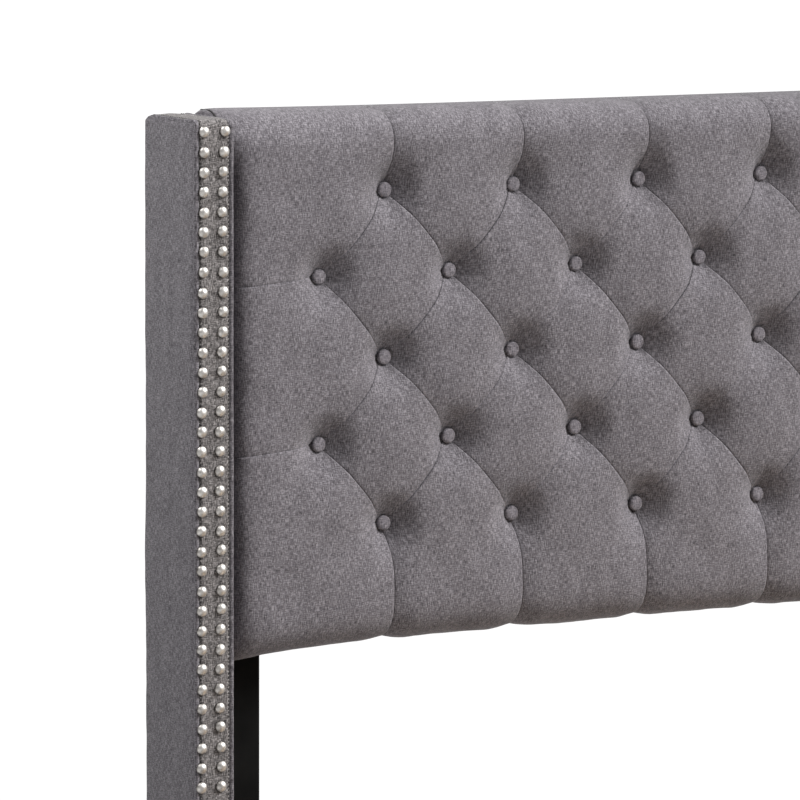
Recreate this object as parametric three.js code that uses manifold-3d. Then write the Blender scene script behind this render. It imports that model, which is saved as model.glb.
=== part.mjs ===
// Queen-size bed with a diamond-tufted, winged headboard, upholstered rails and a slatted base.
// Millimetres. X runs across the bed, +Y points to the head end and +Z up.
// The origin is on the floor, under the middle of the bed.

import * as THREE from 'three';
import { mergeVertices } from 'three/addons/utils/BufferGeometryUtils.js';
import Module from 'manifold-3d';

const wasm = await Module();
wasm.setup();

// ---- Driving dimensions -------------------------------------------------------------------------

const GAP = 0.3; // air between touching pieces
const OVERCUT = 1; // how far a cutter passes the face it opens
const OVERLAP = 1; // how far two joined shapes run into each other

const COLUMN_PITCH = 162; // between neighbouring buttons of one row
const ROW_PITCH = 91; // between rows
const ROWS = 5;
const LONG_ROW_BUTTONS = 9; // rows 2 and 4; the other rows have one button fewer
const END_TO_BUTTON = 130; // from a wing's inner face to the first button of a long row
const FIRST_ROW_DROP = 84.5; // from the wing top down to row 1

const WING_THICKNESS = 45;
const WING_DEPTH = 115;
const WING_TOP = 1200;
const WING_EDGE_RADIUS = 4;
const WING_COVER_WALL = 3.7; // fabric on thin foam
const BAND_THICKNESS = 1.5;
const BAND_EDGE = 4.5; // from the wing's side faces to the band's seams
const GLIDE_HEIGHT = 12;

const NAIL_RADIUS = 6;
const NAIL_HEIGHT = 4.8;
const NAIL_PITCH = 21.2;
const NAIL_STRIP = 0.4; // thickness of the strip that carries a column of nails
const OUTER_NAIL_INSET = 9; // from the wing's outer face to the outer column
const INNER_NAIL_INSET = 12.8; // from the wing's inner face to the inner column
const NAIL_STRIP_MARGIN = 0.5; // strip beyond the heads' edges
const FIRST_NAIL_DROP = 11;
const NAIL_RAIL_GAP = 5; // at least this much between the lowest nail and the rail's top

const PANEL_RISE = 5; // the panel's top above the wing top
const PANEL_HEIGHT = 581;
const PANEL_END_GAP = 2; // between the panel's end and the wing
const PANEL_SETBACK = 24; // the pillows' crests behind the wing's front
const PANEL_CROWN_RADIUS = 40;
const BUTTON_SETBACK = 47; // the buttons' middles behind the wing's front
const BOARD_SETBACK = 64; // the tufting board's front behind the wing's front
const BOARD_THICKNESS = 6;
const FRAME_THICKNESS = 22;
const PANEL_WRAP = 6; // cover and wadding round the frame's edges
const STILE_WIDTH = 80;
const TOP_RAIL_HEIGHT = 50;
const MIDDLE_RAIL_HEIGHT = 50;
const BOTTOM_RAIL_HEIGHT = 60;
const DUST_COVER_THICKNESS = 1;

const BUTTON_RADIUS = 8.7;
const BUTTON_HEIGHT = 6;
const TWINE = 2.4; // side of the twine's square section
const STRAND = 3.4; // side of the doubled twine along the board's back
const DIMPLE_MOUTH_RADIUS = 30;
const DIMPLE_FLOOR_RADIUS = 10;

const LEG_WIDTH = 79;
const LEG_THICKNESS = 19;
const LEG_TOP = 930;
const LEG_SIDE_GAP = 3; // between the leg and the wing

const BOLT_RADIUS = 4;
const BOLT_HEAD_RADIUS = 8;
const BOLT_HEAD_HEIGHT = 1.8;
const BOLT_HEAD_TOP_RADIUS = 5.6;
const LEG_BOLT_COVER = 5; // wood left in front of a leg bolt's end
const WING_BOLT_GRIP = 27; // into the wing
const LEG_BOLT_HEIGHTS = [700, 870];
const WING_BOLT_HEIGHTS = [780, 1100];

const RAIL_LENGTH = 2020;
const RAIL_BOTTOM = 90;
const RAIL_TOP = 370;
const RAIL_THICKNESS = 45;
const RAIL_BOARD_THICKNESS = 27;
const LEDGER_SIZE = 25;
const LEDGER_HEIGHT = 40;

const HOOK_THICKNESS = 3;
const HOOK_REACH = 24; // into the rail, and the same into the wing or footboard
const HOOK_BOTTOM = 170;
const HOOK_HEIGHT = 140;
const HOOK_TONGUE = 45; // height of each of the plate's two tongues
const HOOK_LIP = 8; // the tongue's lip that drops behind the slot's edge
const HOOK_NECK = 2; // from the joint to the notch behind the lips
const HOOK_LIP_START = 14.4; // from the joint to the lips

const SLATS = 8;
const SLAT_WIDTH = 110;
const SLAT_THICKNESS = 18;
const SLAT_TOP = 250;
const SLAT_END_GAP = 4; // between a slat's end and the rail
const SLAT_FIRST_OFFSET = 90; // from the footboard or wing to the nearest slat's middle

const BEAM_WIDTH = 44;
const BEAM_HEIGHT = 70;
const CENTRE_LEG_RADIUS = 19;
const CENTRE_LEG_FOOT_RADIUS = 25;
const CENTRE_LEG_FOOT_HEIGHT = 10;
const CENTRE_LEG_OFFSET = 700; // from the middle of the bed towards head and foot

const FOOT_WIDTH = 60;
const FOOT_DEPTH = 41;
const FOOT_TAPER = 0.75; // its width at the floor, as a share of its width at the top
const FOOT_INSET = 10; // from the bed's outer face

// ---- Places worked out from them ----------------------------------------------------------------

const INNER_HALF = END_TO_BUTTON + ((LONG_ROW_BUTTONS - 1) * COLUMN_PITCH) / 2; // wing's inner face
const OUTER_HALF = INNER_HALF + WING_THICKNESS;
const LENGTH = WING_DEPTH + RAIL_LENGTH + RAIL_THICKNESS;
const HEAD_BACK = LENGTH / 2;
const WING_FRONT = HEAD_BACK - WING_DEPTH;
const FOOT_FRONT = -LENGTH / 2;
const FOOT_BACK = FOOT_FRONT + RAIL_THICKNESS;

const PANEL_TOP = WING_TOP + PANEL_RISE;
const PANEL_BOTTOM = PANEL_TOP - PANEL_HEIGHT;
const PANEL_HALF = INNER_HALF - PANEL_END_GAP;
const PANEL_CREST = WING_FRONT + PANEL_SETBACK;
const BUTTON_BACK = WING_FRONT + BUTTON_SETBACK + BUTTON_HEIGHT / 2;
const BOARD_FRONT = WING_FRONT + BOARD_SETBACK;
const BOARD_BACK = BOARD_FRONT + BOARD_THICKNESS;
const FRAME_FRONT = BOARD_BACK + GAP;
const FRAME_BACK = FRAME_FRONT + FRAME_THICKNESS;
const FRAME_HALF = PANEL_HALF - PANEL_WRAP;
const FRAME_TOP = PANEL_TOP - PANEL_WRAP;
const FRAME_BOTTOM = PANEL_BOTTOM + PANEL_WRAP;
const DUST_FRONT = FRAME_BACK + GAP;
const DUST_BACK = DUST_FRONT + DUST_COVER_THICKNESS;
const LEG_FRONT = DUST_BACK + GAP;
const LEG_BACK = LEG_FRONT + LEG_THICKNESS;
const LEG_OUTER = INNER_HALF - LEG_SIDE_GAP;
const LEG_INNER = LEG_OUTER - LEG_WIDTH;

const COVER_FRONT = WING_FRONT + BAND_THICKNESS + GAP;
const SLAT_BOTTOM = SLAT_TOP - SLAT_THICKNESS;
const LEDGER_TOP = SLAT_BOTTOM - GAP;
const RAIL_WALL = (RAIL_THICKNESS - RAIL_BOARD_THICKNESS) / 2;

const SIDES = [
  { side: 'left', sign: -1 },
  { side: 'right', sign: 1 },
];

// ---- Materials ----------------------------------------------------------------------------------

function finish(colour, roughness, metalness = 0) {
  return () => new THREE.MeshStandardMaterial({ color: colour, roughness, metalness });
}

const heatherFabric = finish(0x7d787e, 0.95);
const bandFabric = finish(0x767171, 0.95);
const backingCloth = finish(0x1d1d1e, 0.95);
const pewter = finish(0xb9b4ae, 0.35, 1);
const blackPaint = finish(0x151514, 0.6);
const pine = finish(0xc9a877, 0.75);
const plywood = finish(0xb99465, 0.8);
const zincSteel = finish(0x9a9c9e, 0.4, 1);
const twineAndCloth = finish(0x726d73, 0.95);
const blackPlastic = finish(0x1a1a1a, 0.5);

// ---- Solids -------------------------------------------------------------------------------------

function block([x0, x1], [y0, y1], [z0, z1]) {
  const geometry = new THREE.BoxGeometry(x1 - x0, y1 - y0, z1 - z0);
  return geometry.translate((x0 + x1) / 2, (y0 + y1) / 2, (z0 + z1) / 2);
}

// The range of X between two distances from the middle, on one side of the bed.
function across(sign, inner, outer) {
  return sign < 0 ? [-outer, -inner] : [inner, outer];
}

const WELD_DISTANCE = 1e-4;

function solid(geometry) {
  const bare = geometry.clone();
  bare.deleteAttribute('normal');
  bare.deleteAttribute('uv');
  const merged = mergeVertices(bare, WELD_DISTANCE);
  const vertProperties = new Float32Array(merged.attributes.position.array);
  const triVerts = new Uint32Array(merged.index.array);
  return new wasm.Manifold(new wasm.Mesh({ numProp: 3, vertProperties, triVerts }));
}

function geometryOf(manifold) {
  const mesh = manifold.getMesh();
  const geometry = new THREE.BufferGeometry();
  geometry.setAttribute('position', new THREE.BufferAttribute(mesh.vertProperties, 3));
  geometry.setIndex(new THREE.BufferAttribute(mesh.triVerts, 1));
  geometry.computeVertexNormals();
  return geometry;
}

function cut(geometry, cutters) {
  let result = solid(geometry);
  for (const cutter of cutters) {
    result = result.subtract(solid(cutter));
  }
  return geometryOf(result);
}

function join(geometries) {
  let result = solid(geometries[0]);
  for (const geometry of geometries.slice(1)) {
    result = result.add(solid(geometry));
  }
  return geometryOf(result);
}

// A turned shape about its own Z axis, from [radius, height] pairs that start and end on the axis.
function turned(profile, sides) {
  const points = profile.map(([radius, height]) => new THREE.Vector2(radius, height));
  return new THREE.LatheGeometry(points, sides).rotateX(Math.PI / 2);
}

const DOME_SHOULDER = 0.75; // where a dome's side turns in, as a share of its radius and height

// A low dome that stands on the plane facing the foot end.
function dome(radius, height, sides) {
  return turned(
    [
      [0, 0],
      [radius, 0],
      [radius * DOME_SHOULDER, height * DOME_SHOULDER],
      [0, height],
    ],
    sides,
  ).rotateX(Math.PI / 2);
}

const POST_SEGMENTS = 3; // in each rounded corner

// A straight prism standing on z0, with a rounded rectangle as its plan.
function roundedPost([x0, x1], [y0, y1], [z0, z1], radius) {
  const plan = new THREE.Shape();
  plan.moveTo(x0 + radius, y0);
  plan.lineTo(x1 - radius, y0);
  plan.absarc(x1 - radius, y0 + radius, radius, -Math.PI / 2, 0);
  plan.lineTo(x1, y1 - radius);
  plan.absarc(x1 - radius, y1 - radius, radius, 0, Math.PI / 2);
  plan.lineTo(x0 + radius, y1);
  plan.absarc(x0 + radius, y1 - radius, radius, Math.PI / 2, Math.PI);
  plan.lineTo(x0, y0 + radius);
  plan.absarc(x0 + radius, y0 + radius, radius, Math.PI, 1.5 * Math.PI);
  const post = new THREE.ExtrudeGeometry(plan, {
    depth: z1 - z0,
    bevelEnabled: false,
    curveSegments: POST_SEGMENTS,
  });
  return post.translate(0, 0, z0);
}

// ---- The object ---------------------------------------------------------------------------------

const bed = new THREE.Group();

function add(name, geometry, material) {
  const mesh = new THREE.Mesh(geometry, material());
  mesh.name = name;
  bed.add(mesh);
}

// ---- Fasteners ----------------------------------------------------------------------------------

const BOLT_SIDES = 12;

// A bolt along +Z with its head's underside at the origin and its shank going down.
function boltShape(length) {
  return turned(
    [
      [0, -length],
      [BOLT_RADIUS, -length],
      [BOLT_RADIUS, 0],
      [BOLT_HEAD_RADIUS, 0],
      [BOLT_HEAD_TOP_RADIUS, BOLT_HEAD_HEIGHT],
      [0, BOLT_HEAD_HEIGHT],
    ],
    BOLT_SIDES,
  );
}

function boltHole(length) {
  return new THREE.CylinderGeometry(BOLT_RADIUS + GAP, BOLT_RADIUS + GAP, length, BOLT_SIDES);
}

const LEG_BOLT_X = (LEG_OUTER + LEG_INNER) / 2;
const LEG_BOLT_LENGTH = LEG_BACK - FRAME_FRONT - LEG_BOLT_COVER;

function legBoltHoles(sign) {
  return LEG_BOLT_HEIGHTS.map((height) =>
    boltHole(2 * LEG_BOLT_LENGTH).translate(sign * LEG_BOLT_X, LEG_BACK, height),
  );
}

const WING_BOLT_Y = (FRAME_FRONT + FRAME_BACK) / 2;
const WING_BOLT_HEAD_X = FRAME_HALF - STILE_WIDTH - GAP;
const WING_BOLT_LENGTH = INNER_HALF + WING_BOLT_GRIP - WING_BOLT_HEAD_X;

function wingBoltHoles(sign) {
  return WING_BOLT_HEIGHTS.map((height) =>
    boltHole(2 * (WING_BOLT_LENGTH + GAP))
      .rotateZ(Math.PI / 2)
      .translate(sign * WING_BOLT_HEAD_X, WING_BOLT_Y, height),
  );
}

for (const { side, sign } of SIDES) {
  LEG_BOLT_HEIGHTS.forEach((height, index) => {
    const bolt = boltShape(LEG_BOLT_LENGTH).rotateX(-Math.PI / 2);
    bolt.translate(sign * LEG_BOLT_X, LEG_BACK + GAP, height);
    add(`${side}_leg_bolt_${index + 1}`, bolt, zincSteel);
  });
  WING_BOLT_HEIGHTS.forEach((height, index) => {
    const bolt = boltShape(WING_BOLT_LENGTH).rotateY((-sign * Math.PI) / 2);
    bolt.translate(sign * WING_BOLT_HEAD_X, WING_BOLT_Y, height);
    add(`${side}_wing_bolt_${index + 1}`, bolt, zincSteel);
  });
}

// ---- Hook plates that join rail to wing and rail to footboard -----------------------------------

const HOOK_X = (INNER_HALF + OUTER_HALF) / 2;

// One plate at the joint between a rail and its neighbour. outward is +1 at the head, -1 at the foot.
function hookPlate(sign, joint, outward) {
  const x = [sign * HOOK_X - HOOK_THICKNESS / 2, sign * HOOK_X + HOOK_THICKNESS / 2];
  const spanY = (from, to) => [joint + outward * from, joint + outward * to].sort((a, b) => a - b);
  const top = HOOK_BOTTOM + HOOK_HEIGHT;
  const plate = block(x, spanY(-HOOK_REACH, HOOK_REACH), [HOOK_BOTTOM, top]);
  const wide = [x[0] - OVERCUT, x[1] + OVERCUT];
  const between = [HOOK_BOTTOM + HOOK_TONGUE, top - HOOK_TONGUE];
  const underUpperLip = [top - HOOK_TONGUE - OVERCUT, top - HOOK_TONGUE + HOOK_LIP];
  const underLowerLip = [HOOK_BOTTOM - OVERCUT, HOOK_BOTTOM + HOOK_LIP];
  return cut(plate, [
    block(wide, spanY(HOOK_NECK, HOOK_REACH + OVERCUT), between),
    block(wide, spanY(HOOK_NECK, HOOK_LIP_START), underUpperLip),
    block(wide, spanY(HOOK_NECK, HOOK_LIP_START), underLowerLip),
  ]);
}

function hookSlot(sign, joint) {
  const half = HOOK_THICKNESS / 2 + GAP;
  return block(
    [sign * HOOK_X - half, sign * HOOK_X + half],
    [joint - HOOK_REACH - GAP, joint + HOOK_REACH + GAP],
    [HOOK_BOTTOM - GAP, HOOK_BOTTOM + HOOK_HEIGHT + GAP],
  );
}

for (const { side, sign } of SIDES) {
  add(`${side}_rail_head_hook`, hookPlate(sign, WING_FRONT, 1), zincSteel);
  add(`${side}_rail_foot_hook`, hookPlate(sign, FOOT_BACK, -1), zincSteel);
}

// ---- Wings --------------------------------------------------------------------------------------

const COVER_BOTTOM = GLIDE_HEIGHT + GAP;
const CORE_INSET = WING_COVER_WALL + GAP;

function wingCover(sign) {
  const outer = roundedPost(
    across(sign, INNER_HALF, OUTER_HALF),
    [COVER_FRONT, HEAD_BACK],
    [COVER_BOTTOM, WING_TOP],
    WING_EDGE_RADIUS,
  );
  const inside = block(
    across(sign, INNER_HALF + WING_COVER_WALL, OUTER_HALF - WING_COVER_WALL),
    [COVER_FRONT + WING_COVER_WALL, HEAD_BACK - WING_COVER_WALL],
    [COVER_BOTTOM - OVERCUT, WING_TOP - WING_COVER_WALL],
  );
  return cut(outer, [inside, hookSlot(sign, WING_FRONT), ...wingBoltHoles(sign)]);
}

function wingCore(sign) {
  const core = block(
    across(sign, INNER_HALF + CORE_INSET, OUTER_HALF - CORE_INSET),
    [COVER_FRONT + CORE_INSET, HEAD_BACK - CORE_INSET],
    [COVER_BOTTOM, WING_TOP - CORE_INSET],
  );
  return cut(core, [hookSlot(sign, WING_FRONT), ...wingBoltHoles(sign)]);
}

function wingBand(sign) {
  const band = block(
    across(sign, INNER_HALF + BAND_EDGE, OUTER_HALF - BAND_EDGE),
    [WING_FRONT + GAP, WING_FRONT + BAND_THICKNESS],
    [COVER_BOTTOM, WING_TOP - BAND_EDGE],
  );
  return cut(band, [hookSlot(sign, WING_FRONT)]);
}

const NAIL_SIDES = 6;
const NAIL_BOTTOM_LIMIT = RAIL_TOP + NAIL_RADIUS + NAIL_RAIL_GAP;
const NAILS = 1 + Math.floor((WING_TOP - FIRST_NAIL_DROP - NAIL_BOTTOM_LIMIT) / NAIL_PITCH);

// One column of domed nails on its carrier strip, facing the foot end.
function nailColumn(x) {
  const face = WING_FRONT;
  const top = WING_TOP - FIRST_NAIL_DROP;
  const margin = NAIL_RADIUS + NAIL_STRIP_MARGIN;
  const bottom = top - (NAILS - 1) * NAIL_PITCH;
  const strip = block([x - margin, x + margin], [face - NAIL_STRIP, face], [bottom - margin, top + margin]);
  const head = dome(NAIL_RADIUS, NAIL_HEIGHT, NAIL_SIDES);
  const heads = [];
  for (let nail = 0; nail < NAILS; nail += 1) {
    heads.push(head.clone().translate(x, face - NAIL_STRIP / 2, top - nail * NAIL_PITCH));
  }
  return join([strip, ...heads]);
}

for (const { side, sign } of SIDES) {
  add(`${side}_wing_core`, wingCore(sign), pine);
  add(`${side}_wing_cover`, wingCover(sign), heatherFabric);
  add(`${side}_wing_front_band`, wingBand(sign), bandFabric);
  add(`${side}_nails_outer`, nailColumn(sign * (OUTER_HALF - OUTER_NAIL_INSET)), pewter);
  add(`${side}_nails_inner`, nailColumn(sign * (INNER_HALF + INNER_NAIL_INSET)), pewter);
  const glide = roundedPost(
    across(sign, INNER_HALF + CORE_INSET, OUTER_HALF - CORE_INSET),
    [COVER_FRONT + CORE_INSET, HEAD_BACK - CORE_INSET],
    [0, GLIDE_HEIGHT],
    WING_EDGE_RADIUS,
  );
  add(`${side}_wing_glide`, glide, blackPlastic);
}

// ---- Tufted panel -------------------------------------------------------------------------------

const BUTTON_SIDES = 8;

function buttonPlaces() {
  const rows = [];
  for (let row = 0; row < ROWS; row += 1) {
    const count = row % 2 === 0 ? LONG_ROW_BUTTONS - 1 : LONG_ROW_BUTTONS;
    const z = WING_TOP - FIRST_ROW_DROP - row * ROW_PITCH;
    const start = (-(count - 1) * COLUMN_PITCH) / 2;
    rows.push(Array.from({ length: count }, (_, index) => ({ x: start + index * COLUMN_PITCH, z })));
  }
  return rows;
}

const BUTTON_ROWS = buttonPlaces();

function twineHole({ x, z }, side) {
  const depth = [BUTTON_BACK - OVERCUT, BOARD_BACK + OVERCUT];
  return block([x - side / 2, x + side / 2], depth, [z - side / 2, z + side / 2]);
}

// A row of covered buttons, joined by the twine that runs through the pad and along the board's back.
function buttonRow(places) {
  const button = dome(BUTTON_RADIUS, BUTTON_HEIGHT, BUTTON_SIDES);
  const z = places[0].z;
  const first = places[0].x;
  const last = places[places.length - 1].x;
  const strand = block(
    [first - STRAND / 2, last + STRAND / 2],
    [BOARD_BACK + GAP, BOARD_BACK + GAP + STRAND],
    [z - STRAND / 2, z + STRAND / 2],
  );
  const pieces = [strand];
  for (const { x } of places) {
    pieces.push(
      block(
        [x - TWINE / 2, x + TWINE / 2],
        [BUTTON_BACK - OVERLAP, BOARD_BACK + GAP + STRAND / 2],
        [z - TWINE / 2, z + TWINE / 2],
      ),
    );
    pieces.push(button.clone().translate(x, BUTTON_BACK, z));
  }
  return join(pieces);
}

const CROWN_SEGMENTS = 6;

// Side outline of the pad: flat back, flat front and quarter-round crowns above and below.
function padBlock() {
  const radius = PANEL_CROWN_RADIUS;
  const outline = new THREE.Shape();
  outline.moveTo(FRAME_BACK, PANEL_BOTTOM);
  outline.lineTo(FRAME_BACK, PANEL_TOP);
  outline.lineTo(PANEL_CREST + radius, PANEL_TOP);
  outline.absarc(PANEL_CREST + radius, PANEL_TOP - radius, radius, Math.PI / 2, Math.PI);
  outline.lineTo(PANEL_CREST, PANEL_BOTTOM + radius);
  outline.absarc(PANEL_CREST + radius, PANEL_BOTTOM + radius, radius, Math.PI, 1.5 * Math.PI);
  const pad = new THREE.ExtrudeGeometry(outline, {
    depth: 2 * PANEL_HALF,
    bevelEnabled: false,
    curveSegments: CROWN_SEGMENTS,
  });
  // The outline was drawn with its x as the bed's Y and its y as the bed's Z.
  return pad.rotateX(Math.PI / 2).rotateZ(Math.PI / 2).translate(-PANEL_HALF, 0, 0);
}

function tuftedPad() {
  const mouth = BUTTON_BACK - PANEL_CREST + GAP;
  const dimple = turned(
    [
      [0, 0],
      [DIMPLE_FLOOR_RADIUS, 0],
      [DIMPLE_MOUTH_RADIUS, mouth],
      [DIMPLE_MOUTH_RADIUS, mouth + OVERCUT],
      [0, mouth + OVERCUT],
    ],
    BUTTON_SIDES,
  ).rotateX(Math.PI / 2);
  const cutters = [
    block([-FRAME_HALF, FRAME_HALF], [BOARD_FRONT - GAP, FRAME_BACK + OVERCUT], [FRAME_BOTTOM, FRAME_TOP]),
  ];
  for (const place of BUTTON_ROWS.flat()) {
    cutters.push(dimple.clone().translate(place.x, BUTTON_BACK + GAP, place.z));
    cutters.push(twineHole(place, TWINE + 2 * GAP));
  }
  for (const { sign } of SIDES) {
    cutters.push(...wingBoltHoles(sign));
  }
  return cut(padBlock(), cutters);
}

function tuftingBoard() {
  const board = block(
    [-FRAME_HALF + GAP, FRAME_HALF - GAP],
    [BOARD_FRONT, BOARD_BACK],
    [FRAME_BOTTOM + GAP, FRAME_TOP - GAP],
  );
  return cut(board, BUTTON_ROWS.flat().map((place) => twineHole(place, TWINE + 2 * GAP)));
}

BUTTON_ROWS.forEach((places, index) => {
  add(`button_row_${index + 1}`, buttonRow(places), twineAndCloth);
});
add('tufted_cushion', tuftedPad(), heatherFabric);
add('tufting_board', tuftingBoard(), plywood);

const STILE_INNER = FRAME_HALF - STILE_WIDTH;
const FRAME_DEPTH = [FRAME_FRONT, FRAME_BACK];
const RAIL_SPAN = [-STILE_INNER + GAP, STILE_INNER - GAP];
const MIDDLE_RAIL_MIDDLE = WING_TOP - FIRST_ROW_DROP - 1.5 * ROW_PITCH; // between rows 2 and 3

function frameRail(bottom, top) {
  return block(RAIL_SPAN, FRAME_DEPTH, [bottom, top]);
}

add('panel_top_rail', frameRail(FRAME_TOP - GAP - TOP_RAIL_HEIGHT, FRAME_TOP - GAP), pine);
add(
  'panel_middle_rail',
  frameRail(MIDDLE_RAIL_MIDDLE - MIDDLE_RAIL_HEIGHT / 2, MIDDLE_RAIL_MIDDLE + MIDDLE_RAIL_HEIGHT / 2),
  pine,
);
add('panel_bottom_rail', frameRail(FRAME_BOTTOM + GAP, FRAME_BOTTOM + GAP + BOTTOM_RAIL_HEIGHT), pine);

for (const { side, sign } of SIDES) {
  const stile = block(
    across(sign, STILE_INNER, FRAME_HALF - GAP),
    FRAME_DEPTH,
    [FRAME_BOTTOM + GAP, FRAME_TOP - GAP],
  );
  add(`panel_${side}_stile`, cut(stile, [...legBoltHoles(sign), ...wingBoltHoles(sign)]), pine);
}

const dustCover = block(
  [-PANEL_HALF + GAP, PANEL_HALF - GAP],
  [DUST_FRONT, DUST_BACK],
  [PANEL_BOTTOM + PANEL_WRAP / 2, PANEL_TOP - PANEL_WRAP / 2],
);
add('dust_cover', cut(dustCover, SIDES.flatMap(({ sign }) => legBoltHoles(sign))), backingCloth);

for (const { side, sign } of SIDES) {
  const leg = block(across(sign, LEG_INNER, LEG_OUTER), [LEG_FRONT, LEG_BACK], [0, LEG_TOP]);
  add(`${side}_leg`, cut(leg, legBoltHoles(sign)), blackPaint);
}

// ---- Side rails ---------------------------------------------------------------------------------

const RAIL_SPAN_Y = [FOOT_BACK + GAP, WING_FRONT - GAP];

for (const { side, sign } of SIDES) {
  const slots = [hookSlot(sign, WING_FRONT), hookSlot(sign, FOOT_BACK)];
  const board = block(
    across(sign, INNER_HALF + RAIL_WALL + GAP, OUTER_HALF - RAIL_WALL - GAP),
    RAIL_SPAN_Y,
    [RAIL_BOTTOM + RAIL_WALL + GAP, RAIL_TOP - RAIL_WALL - GAP],
  );
  add(`${side}_rail_board`, cut(board, slots), pine);

  const outside = block(across(sign, INNER_HALF, OUTER_HALF), RAIL_SPAN_Y, [RAIL_BOTTOM, RAIL_TOP]);
  const inside = block(
    across(sign, INNER_HALF + RAIL_WALL, OUTER_HALF - RAIL_WALL),
    [RAIL_SPAN_Y[0] - OVERCUT, RAIL_SPAN_Y[1] + OVERCUT],
    [RAIL_BOTTOM + RAIL_WALL, RAIL_TOP - RAIL_WALL],
  );
  add(`${side}_rail_cover`, cut(outside, [inside]), heatherFabric);

  const ledger = block(
    across(sign, INNER_HALF - GAP - LEDGER_SIZE, INNER_HALF - GAP),
    [FOOT_BACK + LEDGER_SIZE, WING_FRONT - LEDGER_SIZE],
    [LEDGER_TOP - LEDGER_HEIGHT, LEDGER_TOP],
  );
  add(`${side}_slat_ledger`, ledger, pine);
}

// ---- Footboard ----------------------------------------------------------------------------------

const FOOT_SLOTS = SIDES.map(({ sign }) => hookSlot(sign, FOOT_BACK));
const footBoard = block(
  [-OUTER_HALF + RAIL_WALL + GAP, OUTER_HALF - RAIL_WALL - GAP],
  [FOOT_FRONT + RAIL_WALL + GAP, FOOT_BACK - RAIL_WALL - GAP],
  [RAIL_BOTTOM, RAIL_TOP - RAIL_WALL - GAP],
);
add('footboard_board', cut(footBoard, FOOT_SLOTS), pine);

const footOutside = block([-OUTER_HALF, OUTER_HALF], [FOOT_FRONT, FOOT_BACK], [RAIL_BOTTOM, RAIL_TOP]);
const footInside = block(
  [-OUTER_HALF + RAIL_WALL, OUTER_HALF - RAIL_WALL],
  [FOOT_FRONT + RAIL_WALL, FOOT_BACK - RAIL_WALL],
  [RAIL_BOTTOM - OVERCUT, RAIL_TOP - RAIL_WALL],
);
add('footboard_cover', cut(footOutside, [footInside, ...FOOT_SLOTS]), heatherFabric);

// A square foot, narrower at the floor.
function taperedFoot(height) {
  const foot = new THREE.CylinderGeometry(Math.SQRT1_2, Math.SQRT1_2 * FOOT_TAPER, height, 4);
  return foot.rotateY(Math.PI / 4).rotateX(Math.PI / 2).scale(FOOT_WIDTH, FOOT_DEPTH, 1);
}

for (const { side, sign } of SIDES) {
  const height = RAIL_BOTTOM - GAP;
  const foot = taperedFoot(height);
  foot.translate(sign * (OUTER_HALF - FOOT_WIDTH / 2 - FOOT_INSET), (FOOT_FRONT + FOOT_BACK) / 2, height / 2);
  add(`${side}_foot`, foot, blackPaint);
}

// ---- Slatted base -------------------------------------------------------------------------------

const beamSpan = [FOOT_BACK + GAP, WING_FRONT - LEDGER_SIZE];
const beam = block([-BEAM_WIDTH / 2, BEAM_WIDTH / 2], beamSpan, [LEDGER_TOP - BEAM_HEIGHT, LEDGER_TOP]);
add('centre_beam', beam, pine);

const CENTRE_LEG_SIDES = 16;

['foot', 'head'].forEach((end, index) => {
  const top = LEDGER_TOP - BEAM_HEIGHT - GAP;
  const leg = turned(
    [
      [0, 0],
      [CENTRE_LEG_FOOT_RADIUS, 0],
      [CENTRE_LEG_FOOT_RADIUS, CENTRE_LEG_FOOT_HEIGHT],
      [CENTRE_LEG_RADIUS, CENTRE_LEG_FOOT_HEIGHT],
      [CENTRE_LEG_RADIUS, top],
      [0, top],
    ],
    CENTRE_LEG_SIDES,
  );
  leg.translate(0, (2 * index - 1) * CENTRE_LEG_OFFSET, 0);
  add(`centre_leg_${end}`, leg, blackPaint);
});

const slatStep = (RAIL_LENGTH - 2 * SLAT_FIRST_OFFSET) / (SLATS - 1);
for (let slat = 0; slat < SLATS; slat += 1) {
  const middle = FOOT_BACK + SLAT_FIRST_OFFSET + slat * slatStep;
  const reach = INNER_HALF - SLAT_END_GAP;
  const shape = block(
    [-reach, reach],
    [middle - SLAT_WIDTH / 2, middle + SLAT_WIDTH / 2],
    [SLAT_BOTTOM, SLAT_TOP],
  );
  add(`slat_${slat + 1}`, shape, pine);
}

export default bed;
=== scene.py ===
import math

import bmesh
import bpy
import numpy as np
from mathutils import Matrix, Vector


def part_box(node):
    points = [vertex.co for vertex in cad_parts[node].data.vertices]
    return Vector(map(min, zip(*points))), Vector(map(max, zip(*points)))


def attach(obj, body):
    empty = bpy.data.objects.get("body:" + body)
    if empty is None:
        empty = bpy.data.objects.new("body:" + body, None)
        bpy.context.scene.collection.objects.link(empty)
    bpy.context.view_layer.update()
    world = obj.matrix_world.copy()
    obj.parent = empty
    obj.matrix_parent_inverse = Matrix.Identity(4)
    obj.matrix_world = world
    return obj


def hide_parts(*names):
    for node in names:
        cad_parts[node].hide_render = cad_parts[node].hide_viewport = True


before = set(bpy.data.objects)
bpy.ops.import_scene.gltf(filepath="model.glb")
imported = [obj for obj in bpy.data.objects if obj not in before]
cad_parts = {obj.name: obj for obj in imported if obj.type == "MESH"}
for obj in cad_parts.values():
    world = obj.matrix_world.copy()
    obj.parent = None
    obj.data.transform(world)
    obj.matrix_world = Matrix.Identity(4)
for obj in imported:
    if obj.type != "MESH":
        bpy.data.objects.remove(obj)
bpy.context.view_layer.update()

MM = 0.001
RANDOM = np.random.default_rng(21)

# ---- Places taken from the frame ----------------------------------------------------------------

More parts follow.
